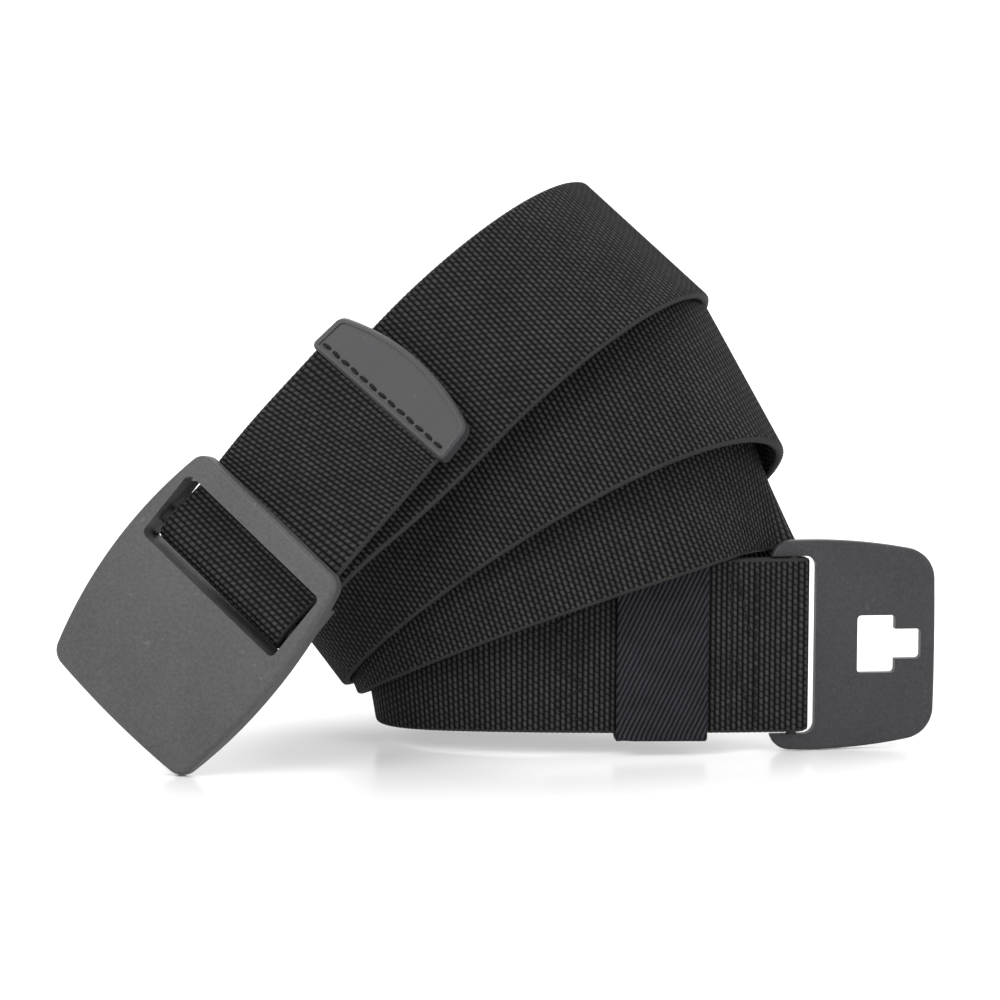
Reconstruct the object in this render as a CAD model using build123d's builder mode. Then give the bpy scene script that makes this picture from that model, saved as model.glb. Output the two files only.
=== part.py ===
from build123d import *
from math import atan2, cos, degrees, pi, radians, sin, sqrt
import os

# A waist belt of elastic webbing with a moulded plastic buckle, wound into an oval coil that
# stands on its edge. +X is to the wearer's right along the front of the coil, +Y to its back, +Z up.
# The strap starts at the catch plate, winds three times round and ends in the buckle and the tail.

# ---- webbing -------------------------------------------------------------------------------
WEB_WIDTH = 38.0
WEB_THICK = 2.2
LAYER_GAP = 0.1          # between layers that are sewn together
FIT_GAP = 0.3            # between parts that move against each other

# ---- where the strap starts, and how it leaves the catch plate ------------------------------
STRAP_START = Vector(64.69, -15.30, 23.62)
START_RUN = 53.25        # nearly straight run from the catch plate to the first bend
START_YAW = -9.5         # degrees; the run comes forward as it leaves the catch plate
START_FAN = -0.5
START_LEAN = 2.5

# ---- the coil: one row for each quarter turn ------------------------------------------------
# reach along the strap, depth, then the fan and lean angles at the quarter's end, in degrees.
# Fan tilts the strap up to the right, lean tips its top edge back.
QUARTER_TURNS = (
    (40.5, 20.0, 10.0, -3.5),
    (44.5, 21.0, 19.0, 7.0),
    (50.0, 24.0, 21.0, 21.0),
    (45.0, 24.0, 19.0, 15.5),
    (55.0, 29.0, 22.0, 11.0),
    (51.5, 25.0, 27.0, 13.5),
    (53.0, 25.5, 30.0, 30.0),
    (49.5, 32.0, 30.5, 23.5),
    (62.5, 31.0, 39.0, 14.5),
    (60.0, 39.0, 49.0, 16.0),
    (53.0, 27.5, 49.0, 20.0),
    (51.0, 45.0, 47.0, 22.5),
)
QUARTER_STEPS = 9

# The first right-hand bend passes behind the catch plate: its lower edge is tucked back there.
TUCK_AT = 38.0           # station in the middle of the tuck
TUCK_REACH = 5.0         # stations to either side
TUCK_LEAN = -17.0
TUCK_BACK = Vector(-1.2, 3.7, 0.6)

# ---- the last run, from the coil's front to the buckle --------------------------------------
LAST_RUN = 58.4
LAST_BULGE_YAW = -23.5   # yaw half way, where the run comes forward
BUCKLE_YAW = 7.0
BUCKLE_FAN = 49.5
BUCKLE_LEAN = 26.0
LAST_STEPS = 14


def fan_axes(fan, lean):
    """The strap's forward run, its depth and its width directions for a fan and a lean angle."""
    run = Vector(cos(radians(fan)), 0, sin(radians(fan)))
    rise = Vector(-sin(radians(fan)), 0, cos(radians(fan)))
    back = Vector(0, 1, 0)
    depth = back * cos(radians(lean)) - rise * sin(radians(lean))
    width = rise * cos(radians(lean)) + back * sin(radians(lean))
    return run, depth, width


def eased(values, index, part):
    """A smooth value between values[index] and the next, which also follows their neighbours."""
    last = len(values) - 1
    here, there = values[index], values[min(index + 1, last)]
    slope_here = (there - values[max(index - 1, 0)]) / 2
    slope_there = (values[min(index + 2, last)] - here) / 2
    bend = part * part * (3 - 2 * part)
    return (
        here * (1 - bend)
        + there * bend
        + slope_here * part * (1 - part) ** 2
        + slope_there * part * part * (part - 1)
    )


def coil_marks():
    """(reach, depth, fan, lean) along the strap, unrolled in plan, from catch plate to buckle."""
    fans = [START_FAN] + [row[2] for row in QUARTER_TURNS] + [BUCKLE_FAN]
    leans = [START_LEAN] + [row[3] for row in QUARTER_TURNS] + [BUCKLE_LEAN]
    marks = []
    radius = START_RUN / sin(radians(-START_YAW))
    for step in range(QUARTER_STEPS):
        yaw = START_YAW * (1 - step / QUARTER_STEPS)
        reach = START_RUN + radius * sin(radians(yaw))
        depth = radius * (1 - cos(radians(yaw)))
        marks.append((reach, depth, START_FAN, START_LEAN))
    x, y = START_RUN, 0.0
    for index, (reach, depth, _, _) in enumerate(QUARTER_TURNS):
        x_sign = (1, -1, -1, 1)[index % 4]
        y_sign = (1, 1, -1, -1)[index % 4]
        for step in range(QUARTER_STEPS):
            turn = pi / 2 * step / QUARTER_STEPS
            if index % 2 == 0:
                dx, dy = reach * sin(turn), depth * (1 - cos(turn))
            else:
                dx, dy = reach * (1 - cos(turn)), depth * sin(turn)
            part = step / QUARTER_STEPS
            fan, lean = eased(fans, index, part), eased(leans, index, part)
            marks.append((x + x_sign * dx, y + y_sign * dy, fan, lean))
        x += x_sign * reach
        y += y_sign * depth
    turns = len(QUARTER_TURNS)
    stride = LAST_RUN / LAST_STEPS
    for step in range(LAST_STEPS + 1):
        part = step / LAST_STEPS
        marks.append((x, y, eased(fans, turns, part), eased(leans, turns, part)))
        part = (step + 0.5) / LAST_STEPS
        if part < 0.5:
            yaw = LAST_BULGE_YAW * 2 * part
        else:
            yaw = LAST_BULGE_YAW + (BUCKLE_YAW - LAST_BULGE_YAW) * (2 * part - 1)
        x += stride * cos(radians(yaw))
        y += stride * sin(radians(yaw))
    return marks


def coil_stations():
    """Centre points of the strap with its width direction at each, from catch plate to buckle."""
    marks = coil_marks()
    point = STRAP_START
    stations = []
    for index, mark in enumerate(marks):
        if index:
            before = marks[index - 1]
            run_a, depth_a, _ = fan_axes(before[2], before[3])
            run_b, depth_b, _ = fan_axes(mark[2], mark[3])
            run, depth = (run_a + run_b) / 2, (depth_a + depth_b) / 2
            point = point - run * (mark[0] - before[0]) + depth * (mark[1] - before[1])
        tuck = (1 + cos(pi * min(abs(index - TUCK_AT) / TUCK_REACH, 1.0))) / 2
        width = fan_axes(mark[2], mark[3] + TUCK_LEAN * tuck)[2]
        stations.append((point + TUCK_BACK * tuck, width))
    return stations


# ---- buckle --------------------------------------------------------------------------------
PIN_RADIUS = 2.0
PIN_FIT = 0.02           # radial, between the pin and the frame that holds it
PIN_END_GAP = 0.2
PIN_CHAMFER = 0.4
WRAP_RADIUS = PIN_RADIUS + FIT_GAP + WEB_THICK / 2
PLATE_FACE = 4.7         # from the crossbar pin's axis to the plate's face
PLATE_THICK = 3.0
PLATE_NEAR = 16.9        # edge over the strap
PLATE_FAR = -40.6        # edge over the hook, which bows out by PLATE_FAR_BOW
PLATE_FAR_BOW = 1.0
PLATE_WIDEST = -8.95
PLATE_NEAR_HALF = 21.8
PLATE_MID_HALF = 24.7
PLATE_FAR_HALF = 20.6
PLATE_CROWN = 1.2
PLATE_EDGE_DROP = 0.4    # the hook end is a little lower than the window end
PLATE_NEAR_CORNER = 3.6
PLATE_FAR_CORNER = 4.0
PLATE_ROUND = 1.1
WINDOW_NEAR = 11.3
WINDOW_FAR = -5.4
WINDOW_HALF = 20.8
WINDOW_CORNER = 1.4
FRAME_WALL = 1.5         # of the frame behind the window, which holds the pin
FRAME_DEPTH = 4.4
FRAME_NEAR = 9.5
HOOK_AT = -28.6
HOOK_NECK = (4.6, 5.8, 3.2)
HOOK_NECK_CORNER = 1.0
HOOK_HEAD = (6.8, 12.0, 2.0)
HOOK_HEAD_CORNER = 1.2
HOOK_DRAFT = 12.0        # degrees

# ---- tail and its moulded tip ---------------------------------------------------------------
TAIL_EXIT = 12.6         # where the tail leaves the buckle, from the pin's axis
TAIL_RISE = 0.1          # of the tail's middle above the pin's axis
TAIL_STRAIGHT = 1.5
TIP_EDGE = Vector(-25.86, -27.06, 78.24)
TIP_FAN = 51.3
TIP_LEAN = 26.0
TIP_YAW = -9.0
TIP_WIDTH = 40.4
TIP_DEPTH = 13.0
TIP_SIDE = 9.0           # length of its straight sides, which close in by TIP_SIDE_IN
TIP_SIDE_IN = 0.7
TIP_EDGE_CORNER = 1.4
TIP_ROUND_CORNER = 2.8
TIP_THICK = 4.2
TIP_EDGE_BREAK = 0.5
TIP_POCKET = 7.0
TIP_POCKET_GAP = 0.3     # past the end of the tail
TIP_RIM = 1.2
TIP_RECESS = 0.35
TIP_SEAM = 2.1
TIP_STITCHES = 13
TIP_STITCH_PITCH = 2.85

# ---- catch plate ---------------------------------------------------------------------------
BAR_RADIUS = 1.1
LOOP_RADIUS = BAR_RADIUS + FIT_GAP + WEB_THICK / 2
CATCH_LEFT = -5.0
CATCH_RIGHT = 31.4       # edge that bows out by CATCH_BOW
CATCH_BOW = 0.3
CATCH_EAR_HALF = 22.8
CATCH_HALF = 23.1        # at CATCH_WIDEST
CATCH_WIDEST = 3.0
CATCH_END_HALF = 19.8
CATCH_DROP = 0.2         # it hangs a little low in the strap's loop
CATCH_THICK = 2.4
CATCH_LEFT_CORNER = 4.4
CATCH_RIGHT_CORNER = 7.0
CATCH_EDGE_ROUND = 0.6
BAR_ROOT = 0.6           # how far the bar runs into the plate at each end
SLOT_LEFT = -8.0
SLOT_RIGHT = 5.0
SLOT_CORNER = 2.5
SLOT_HALF = 19.6
KEY_WIDE = (14.3, 22.8, 6.35)      # from, to and half height
KEY_NARROW = (22.8, 28.5, 3.3)
KEY_CORNER = 0.9

# ---- keeper and the sewn end ----------------------------------------------------------------
FOLD_OPEN = 1.0          # distance from the bar where the two layers start to close
FOLD_CLOSE = 7.5         # and where they meet
KEEPER_AT = 29.15
KEEPER_LENGTH = 20.0
KEEPER_WALL = 1.0
KEEPER_CORNER = 1.6      # outside; KEEPER_INNER_CORNER inside
KEEPER_INNER_CORNER = 0.7
KEEPER_PLAY = 0.5
KEEPER_DROP = 0.3        # it hangs on the strap's top edge
STITCH = (1.9, 0.5, 0.35)
STITCH_LIFT = 0.02       # clear of the webbing
STITCH_PITCH = 2.6
SEAM_HALF = 17.0
SEAM_SPLIT = 1.0         # half the gap between the two halves of the outer seam
SEAM_INSET = 1.2         # of its diagonals from its corners
OUTER_SEAM = (8.75, 14.15)         # distances of the two rows from the start of the first run
INNER_SEAM = (46.25, 52.25)
ZIGZAG_COUNT = 8
ZIGZAG_INSET = 0.6


def ribbon_planes(points, widths):
    """Section planes of a strap: x through its thickness, y across its width, z along it."""
    planes = []
    for index, (point, width) in enumerate(zip(points, widths)):
        ahead = points[min(index + 1, len(points) - 1)]
        behind = points[max(index - 1, 0)]
        along = (ahead - behind).normalized()
        across = (width - along * width.dot(along)).normalized()
        planes.append(Plane(origin=point, x_dir=across.cross(along), z_dir=along))
    return planes


def start_run_plane(distance):
    """A plane on the first run: x back to the catch plate, y up its width, z out of its front."""
    run, depth, width = fan_axes(START_FAN, START_LEAN)
    radius = START_RUN / sin(radians(-START_YAW))
    yaw = START_YAW * (1 - distance / START_RUN)
    reach = START_RUN + radius * sin(radians(yaw))
    back = radius * (cos(radians(START_YAW)) - cos(radians(yaw)))
    along = -run * cos(radians(yaw)) + depth * sin(radians(yaw))
    origin = STRAP_START - run * reach + depth * back
    return Plane(origin=origin, x_dir=-along, z_dir=width.cross(along))


def face_plane(origin, fan, lean, yaw):
    """A plane facing forward off the strap: x towards the coil, y across the strap, z outward."""
    run, depth, width = fan_axes(fan, lean)
    towards = run * cos(radians(yaw)) - depth * sin(radians(yaw))
    return Plane(origin=origin, x_dir=towards, z_dir=towards.cross(width))


coil = coil_stations()
buckle_axes = face_plane(coil[-1][0], BUCKLE_FAN, BUCKLE_LEAN, BUCKLE_YAW)
pin_plane = buckle_axes.offset(WRAP_RADIUS)
tip_plane = face_plane(TIP_EDGE, TIP_FAN, TIP_LEAN, TIP_YAW)
catch_front = start_run_plane(0.0)
loop_plane = catch_front.offset(-LOOP_RADIUS)
catch_origin = loop_plane.origin - loop_plane.y_dir * CATCH_DROP
catch_plane = Plane(catch_origin, x_dir=loop_plane.x_dir, z_dir=loop_plane.z_dir)


def end_fold():
    """The strap's sewn end, from its cut edge back along the first run and round the catch bar."""
    points = []
    steps = 30
    for step in range(steps + 1):
        distance = START_RUN * (1 - step / steps)
        closing = min(max((distance - FOLD_OPEN) / (FOLD_CLOSE - FOLD_OPEN), 0.0), 1.0)
        closing = closing * closing * (3 - 2 * closing)
        gap = WEB_THICK + LAYER_GAP + (2 * LOOP_RADIUS - WEB_THICK - LAYER_GAP) * (1 - closing)
        points.append(start_run_plane(distance).offset(-gap).origin)
    bends = 12
    for step in range(1, bends):
        angle = pi * step / bends
        out = LOOP_RADIUS * sin(angle)
        rise = -LOOP_RADIUS * cos(angle)
        points.append(loop_plane.from_local_coords(Vector(out, 0, rise)))
    return points, [catch_front.y_dir] * len(points)


def buckle_wrap():
    """The strap round the crossbar pin and down under the window's near bar."""
    points = []
    bends = 12
    for step in range(1, bends):
        angle = pi * step / bends
        reach = -WRAP_RADIUS * sin(angle)
        rise = -WRAP_RADIUS * cos(angle)
        points.append(pin_plane.from_local_coords(Vector(reach, 0, rise)))
    steps = 6
    for step in range(steps + 1):
        part = step / steps
        drop = (1 - cos(pi * part)) / 2
        rise = WRAP_RADIUS + (TAIL_RISE - WRAP_RADIUS) * drop
        reach = (TAIL_EXIT - 2 * LAYER_GAP) * part
        points.append(pin_plane.from_local_coords(Vector(reach, 0, rise)))
    return points, [pin_plane.y_dir] * len(points)


def tail_route():
    """The tail from the buckle to inside its tip, on one smooth curve."""
    mouth = pin_plane.from_local_coords(Vector(TAIL_EXIT, 0, TAIL_RISE))
    start = mouth + pin_plane.x_dir * TAIL_STRAIGHT
    span = (TIP_EDGE - start).length
    points, widths = [mouth], [pin_plane.y_dir]
    steps = 12
    for step in range(steps + 1):
        t = step / steps
        bend = t * t * (3 - 2 * t)
        points.append(
            start * (1 - bend)
            + TIP_EDGE * bend
            + pin_plane.x_dir * (span * t * (1 - t) ** 2)
            + tip_plane.x_dir * (span * t * t * (t - 1))
        )
        widths.append(pin_plane.y_dir * (1 - bend) + tip_plane.y_dir * bend)
    points.append(TIP_EDGE + tip_plane.x_dir * (TIP_POCKET - TIP_POCKET_GAP))
    widths.append(tip_plane.y_dir)
    return points, widths


# ==== solids ================================================================================
os.makedirs("parts", exist_ok=True)

# The strap: sewn end, loop round the catch bar, coil, last run and wrap round the crossbar pin.
fold_points, fold_widths = end_fold()
wrap_points, wrap_widths = buckle_wrap()
strap_points = fold_points + [point for point, _ in coil] + wrap_points
strap_widths = fold_widths + [width for _, width in coil] + wrap_widths

with BuildPart() as webbing_strap:
    for section in ribbon_planes(strap_points, strap_widths):
        with BuildSketch(section):
            Rectangle(WEB_THICK, WEB_WIDTH)
    loft(ruled=True)
webbing_strap.part.label = "webbing_strap"

tail_points, tail_widths = tail_route()
with BuildPart() as strap_tail:
    for section in ribbon_planes(tail_points, tail_widths):
        with BuildSketch(section):
            Rectangle(WEB_THICK, WEB_WIDTH)
    loft(ruled=True)
strap_tail.part.label = "strap_tail"

# The buckle: a barrel-shaped plate with a window, a frame behind it for the pin, and a hook.
plate_back = pin_plane.offset(PLATE_FACE - PLATE_THICK)
pin_section = Plane(origin=pin_plane.origin, x_dir=pin_plane.x_dir, z_dir=-pin_plane.y_dir)
outward = Axis(pin_plane.origin, pin_plane.z_dir)
plate_height = PLATE_THICK + PLATE_CROWN
far_corner = PLATE_FAR + PLATE_FAR_BOW
window_middle = (WINDOW_NEAR + WINDOW_FAR) / 2

with BuildPart() as buckle_plate:
    with BuildSketch(plate_back):
        with BuildLine():
            near_up, near_down = (PLATE_NEAR, PLATE_NEAR_HALF), (PLATE_NEAR, -PLATE_NEAR_HALF)
            far_up, far_down = (far_corner, PLATE_FAR_HALF), (far_corner, -PLATE_FAR_HALF)
            ThreePointArc(near_up, (PLATE_WIDEST, PLATE_MID_HALF), far_up)
            ThreePointArc(far_up, (PLATE_FAR, 0), far_down)
            ThreePointArc(far_down, (PLATE_WIDEST, -PLATE_MID_HALF), near_down)
            Line(near_down, near_up)
        make_face()
        fillet(vertices().sort_by(Axis.X)[:2], PLATE_FAR_CORNER)
        fillet(vertices().sort_by(Axis.X)[-2:], PLATE_NEAR_CORNER)
    extrude(amount=plate_height)
    with BuildSketch(pin_section):
        with BuildLine():
            crown_near = (PLATE_NEAR + PLATE_FAR_BOW, PLATE_FACE)
            crown_far = (PLATE_FAR - PLATE_FAR_BOW, PLATE_FACE - PLATE_EDGE_DROP)
            ThreePointArc(crown_far, (PLATE_WIDEST, PLATE_FACE + PLATE_CROWN), crown_near)
            Polyline(crown_near, (crown_near[0], 0), (crown_far[0], 0), crown_far)
        make_face()
    extrude(amount=PLATE_MID_HALF + PLATE_FAR_BOW, both=True, mode=Mode.INTERSECT)
    fillet(faces().sort_by(outward)[-1].edges(), PLATE_ROUND)
    with BuildSketch(plate_back):
        with Locations((window_middle, 0)):
            RectangleRounded(WINDOW_NEAR - WINDOW_FAR, 2 * WINDOW_HALF, WINDOW_CORNER)
    extrude(amount=plate_height, mode=Mode.SUBTRACT)
    with BuildSketch(plate_back):
        with Locations(((FRAME_NEAR + WINDOW_FAR - FRAME_WALL) / 2, 0)):
            Rectangle(FRAME_NEAR - WINDOW_FAR + FRAME_WALL, 2 * (WINDOW_HALF + FRAME_WALL))
        with Locations((window_middle, 0)):
            Rectangle(WINDOW_NEAR - WINDOW_FAR, 2 * WINDOW_HALF, mode=Mode.SUBTRACT)
    extrude(amount=-FRAME_DEPTH)
    with BuildSketch(pin_section):
        Circle(PIN_RADIUS + PIN_FIT)
    extrude(amount=WINDOW_HALF + FRAME_WALL, both=True, mode=Mode.SUBTRACT)
    with BuildSketch(plate_back):
        with Locations((HOOK_AT, 0)):
            RectangleRounded(HOOK_NECK[0], HOOK_NECK[1], HOOK_NECK_CORNER)
    extrude(amount=-HOOK_NECK[2])
    with BuildSketch(plate_back.offset(-HOOK_NECK[2])):
        with Locations((HOOK_AT, 0)):
            RectangleRounded(HOOK_HEAD[0], HOOK_HEAD[1], HOOK_HEAD_CORNER)
    extrude(amount=-HOOK_HEAD[2], taper=HOOK_DRAFT)
buckle_plate.part.label = "buckle_plate"

with BuildPart() as crossbar_pin:
    with BuildSketch(pin_section):
        Circle(PIN_RADIUS)
    extrude(amount=WINDOW_HALF + FRAME_WALL - PIN_END_GAP, both=True)
    chamfer(edges().filter_by(GeomType.CIRCLE), PIN_CHAMFER)
crossbar_pin.part.label = "crossbar_pin"

# The moulded tip: a D-shaped shell with a raised rim, open at its straight edge for the tail.
tip_end_half = TIP_WIDTH / 2 - TIP_SIDE_IN
with BuildPart() as strap_tip:
    with BuildSketch(tip_plane.offset(-TIP_THICK / 2)) as tip_outline:
        with BuildLine():
            Line((0, TIP_WIDTH / 2), (0, -TIP_WIDTH / 2))
            Line((0, -TIP_WIDTH / 2), (TIP_SIDE, -tip_end_half))
            ThreePointArc((TIP_SIDE, -tip_end_half), (TIP_DEPTH, 0), (TIP_SIDE, tip_end_half))
            Line((TIP_SIDE, tip_end_half), (0, TIP_WIDTH / 2))
        make_face()
        fillet(vertices().sort_by(Axis.X)[:2], TIP_EDGE_CORNER)
        fillet(vertices().sort_by(Axis.X)[-2:], TIP_ROUND_CORNER)
    extrude(amount=TIP_THICK)
    chamfer(faces().sort_by(Axis(tip_plane.origin, tip_plane.z_dir))[-1].edges(), TIP_EDGE_BREAK)
    with BuildSketch(tip_plane.offset(TIP_THICK / 2 - TIP_RECESS)):
        add(tip_outline.sketch_local)
        offset(amount=-TIP_RIM, mode=Mode.REPLACE)
    extrude(amount=TIP_THICK, mode=Mode.SUBTRACT)
    with BuildSketch(tip_plane.offset(-WEB_THICK / 2 - LAYER_GAP)):
        with Locations(((TIP_POCKET - TIP_RIM) / 2, 0)):
            Rectangle(TIP_POCKET + TIP_RIM, WEB_WIDTH + 2 * LAYER_GAP)
    extrude(amount=WEB_THICK + 2 * LAYER_GAP, mode=Mode.SUBTRACT)
strap_tip.part.label = "strap_tip"

# The catch plate: a thin plate with a keyhole, hung by a round bar in the strap's loop.
bar_section = Plane(origin=catch_plane.origin, x_dir=catch_plane.x_dir, z_dir=-catch_plane.y_dir)
with BuildPart() as catch_plate:
    with BuildSketch(catch_plane):
        with BuildLine():
            bar_up, bar_down = (CATCH_LEFT, CATCH_EAR_HALF), (CATCH_LEFT, -CATCH_EAR_HALF)
            end_up, end_down = (CATCH_RIGHT, CATCH_END_HALF), (CATCH_RIGHT, -CATCH_END_HALF)
            ThreePointArc(bar_up, (CATCH_WIDEST, CATCH_HALF), end_up)
            ThreePointArc(end_up, (CATCH_RIGHT + CATCH_BOW, 0), end_down)
            ThreePointArc(end_down, (CATCH_WIDEST, -CATCH_HALF), bar_down)
            Line(bar_down, bar_up)
        make_face()
        fillet(vertices().sort_by(Axis.X)[:2], CATCH_LEFT_CORNER)
        fillet(vertices().sort_by(Axis.X)[-2:], CATCH_RIGHT_CORNER)
    extrude(amount=CATCH_THICK / 2, both=True)
    fillet(faces().filter_by(catch_plane).edges(), CATCH_EDGE_ROUND)
    with BuildSketch(catch_plane):
        with Locations(((SLOT_RIGHT + SLOT_LEFT) / 2, 0)):
            RectangleRounded(SLOT_RIGHT - SLOT_LEFT, 2 * SLOT_HALF, SLOT_CORNER)
        with Locations((SLOT_LEFT / 2, 0)):
            Rectangle(-SLOT_LEFT, 2 * SLOT_HALF)
        with Locations(((KEY_WIDE[0] + KEY_WIDE[1]) / 2, 0)):
            RectangleRounded(KEY_WIDE[1] - KEY_WIDE[0], 2 * KEY_WIDE[2], KEY_CORNER)
        with Locations(((KEY_NARROW[0] + KEY_NARROW[1]) / 2 - KEY_CORNER, 0)):
            narrow_length = KEY_NARROW[1] - KEY_NARROW[0] + 2 * KEY_CORNER
            RectangleRounded(narrow_length, 2 * KEY_NARROW[2], KEY_CORNER)
    extrude(amount=CATCH_THICK, both=True, mode=Mode.SUBTRACT)
    with BuildSketch(bar_section):
        Circle(BAR_RADIUS)
    extrude(amount=SLOT_HALF + BAR_ROOT, both=True)
catch_plate.part.label = "catch_plate"

# The keeper: a flat twill band round both layers of the sewn end.
keeper_front = start_run_plane(KEEPER_AT)
keeper_middle = keeper_front.offset(-(WEB_THICK + LAYER_GAP) / 2)
keeper_centre = keeper_middle.origin - keeper_middle.y_dir * KEEPER_DROP
keeper_section = Plane(keeper_centre, x_dir=keeper_middle.z_dir, z_dir=keeper_middle.x_dir)
keeper_inside = (2 * WEB_THICK + LAYER_GAP + 2 * KEEPER_PLAY, WEB_WIDTH + 2 * KEEPER_PLAY)
with BuildPart() as keeper_loop:
    with BuildSketch(keeper_section):
        RectangleRounded(*[side + 2 * KEEPER_WALL for side in keeper_inside], KEEPER_CORNER)
        RectangleRounded(*keeper_inside, KEEPER_INNER_CORNER, mode=Mode.SUBTRACT)
    extrude(amount=KEEPER_LENGTH / 2, both=True)
keeper_loop.part.label = "keeper_loop"


def seam(plane_at, start, end, height):
    """Stitch places along a straight seam from (distance, across) to (distance, across)."""
    length = sqrt((end[0] - start[0]) ** 2 + (end[1] - start[1]) ** 2)
    count = max(int(round(length / STITCH_PITCH)), 1)
    turn = degrees(atan2(end[1] - start[1], -(end[0] - start[0])))
    places = []
    for index in range(count):
        part = (index + 0.5) / count
        distance = start[0] + (end[0] - start[0]) * part
        across = start[1] + (end[1] - start[1]) * part
        places.append(plane_at(distance).location * Location((0, across, height), (0, 0, turn)))
    return places


def sewn_both_sides(corners):
    """Stitches along the seams between corners, on the front and on the back of the sewn end."""
    front = WEB_THICK / 2 + STITCH[2] / 2 + STITCH_LIFT
    behind = -(WEB_THICK * 1.5 + LAYER_GAP) - STITCH[2] / 2 - STITCH_LIFT
    places = []
    for start, end in corners:
        places += seam(start_run_plane, start, end, front)
        places += seam(start_run_plane, start, end, behind)
    return places


box_seams = []
near_row, far_row = OUTER_SEAM
for low, high in ((-SEAM_HALF, -SEAM_SPLIT), (SEAM_SPLIT, SEAM_HALF)):
    box_seams.append(((near_row, low), (near_row, high)))
    box_seams.append(((far_row, low), (far_row, high)))
    diagonal_start = (near_row + SEAM_INSET, low + SEAM_INSET)
    box_seams.append((diagonal_start, (far_row - SEAM_INSET, high - SEAM_INSET)))
with BuildPart() as loop_stitching_outer:
    with Locations(*sewn_both_sides(box_seams)):
        Box(*STITCH)
loop_stitching_outer.part.label = "loop_stitching_outer"

zigzag = []
for index in range(ZIGZAG_COUNT):
    low = -SEAM_HALF + 2 * SEAM_HALF * index / ZIGZAG_COUNT
    high = -SEAM_HALF + 2 * SEAM_HALF * (index + 1) / ZIGZAG_COUNT
    sides = INNER_SEAM if index % 2 == 0 else INNER_SEAM[::-1]
    zigzag.append(((sides[0], low + ZIGZAG_INSET), (sides[1], high - ZIGZAG_INSET)))
with BuildPart() as loop_stitching_inner:
    with Locations(*sewn_both_sides(zigzag)):
        Box(*STITCH)
loop_stitching_inner.part.label = "loop_stitching_inner"

tip_places = []
for index in range(TIP_STITCHES):
    across = (index - (TIP_STITCHES - 1) / 2) * TIP_STITCH_PITCH
    height = TIP_THICK / 2 - TIP_RECESS + STITCH[2] / 2 + STITCH_LIFT
    tip_places.append(tip_plane.location * Location((TIP_SEAM, across, height), (0, 0, 90)))
with BuildPart() as tip_stitching:
    with Locations(*tip_places):
        Box(*STITCH)
tip_stitching.part.label = "tip_stitching"

pieces = (
    webbing_strap, strap_tail, buckle_plate, crossbar_pin, strap_tip, catch_plate,
    keeper_loop, loop_stitching_outer, loop_stitching_inner, tip_stitching,
)
for piece in pieces:
    export_step(piece.part, f"parts/{piece.part.label}.step")

# Joint places and the whole model's box, for the record.
whole = Compound([piece.part for piece in pieces]).bounding_box()
print("box", whole.min, whole.max)
strap_length = sum((b - a).length for a, b in zip(strap_points, strap_points[1:]))
tail_length = sum((b - a).length for a, b in zip(tail_points, tail_points[1:]))
print("strap length", round(strap_length, 1), "tail length", round(tail_length, 1))
print("catch bar", catch_plane.origin, "axis", catch_plane.y_dir)
print("catch out", catch_plane.z_dir, "right", catch_plane.x_dir)
print("keeper", keeper_section.origin, "axis", keeper_front.x_dir)
print("pin", pin_plane.origin, "axis", pin_plane.y_dir)
print("pin out", pin_plane.z_dir, "towards", pin_plane.x_dir)
print("tip", tip_plane.origin, "towards", tip_plane.x_dir)
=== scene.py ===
from math import cos, pi, radians, sin

import bpy
import numpy as np
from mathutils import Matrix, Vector


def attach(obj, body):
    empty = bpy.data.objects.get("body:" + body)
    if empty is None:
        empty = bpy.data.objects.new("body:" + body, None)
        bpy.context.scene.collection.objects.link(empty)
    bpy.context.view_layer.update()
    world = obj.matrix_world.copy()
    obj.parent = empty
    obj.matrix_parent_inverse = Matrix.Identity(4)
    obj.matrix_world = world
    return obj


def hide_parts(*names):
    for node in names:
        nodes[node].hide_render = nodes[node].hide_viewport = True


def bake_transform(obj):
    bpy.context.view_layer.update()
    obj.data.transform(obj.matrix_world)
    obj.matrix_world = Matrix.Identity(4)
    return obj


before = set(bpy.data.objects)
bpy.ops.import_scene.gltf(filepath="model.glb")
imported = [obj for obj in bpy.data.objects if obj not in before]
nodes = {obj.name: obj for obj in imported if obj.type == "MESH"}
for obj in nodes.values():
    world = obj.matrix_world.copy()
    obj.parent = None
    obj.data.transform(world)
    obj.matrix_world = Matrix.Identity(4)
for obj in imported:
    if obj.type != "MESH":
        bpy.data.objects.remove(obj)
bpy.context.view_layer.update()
MM = 0.001

# ---- the strap's route, as in the CAD source, in millimetres ----------------------------------
WEB_WIDTH = 38.0
WEB_THICK = 2.2
LAYER_GAP = 0.1
FIT_GAP = 0.3
STRAP_START = Vector((64.69, -15.30, 23.62))
START_RUN = 53.25
START_YAW = -9.5
START_FAN = -0.5
START_LEAN = 2.5
# One row for each quarter turn of the coil: reach, depth, fan and lean.
QUARTER_TURNS = (
    (40.5, 20.0, 10.0, -3.5),
    (44.5, 21.0, 19.0, 7.0),
    (50.0, 24.0, 21.0, 21.0),
    (45.0, 24.0, 19.0, 15.5),
    (55.0, 29.0, 22.0, 11.0),
    (51.5, 25.0, 27.0, 13.5),
    (53.0, 25.5, 30.0, 30.0),
    (49.5, 32.0, 30.5, 23.5),
    (62.5, 31.0, 39.0, 14.5),
    (60.0, 39.0, 49.0, 16.0),
    (53.0, 27.5, 49.0, 20.0),
    (51.0, 45.0, 47.0, 22.5),
)
QUARTER_STEPS = 9
TUCK_AT = 38.0
TUCK_REACH = 5.0
TUCK_LEAN = -17.0
TUCK_BACK = Vector((-1.2, 3.7, 0.6))
LAST_RUN = 58.4
LAST_BULGE_YAW = -23.5
BUCKLE_YAW = 7.0
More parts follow.
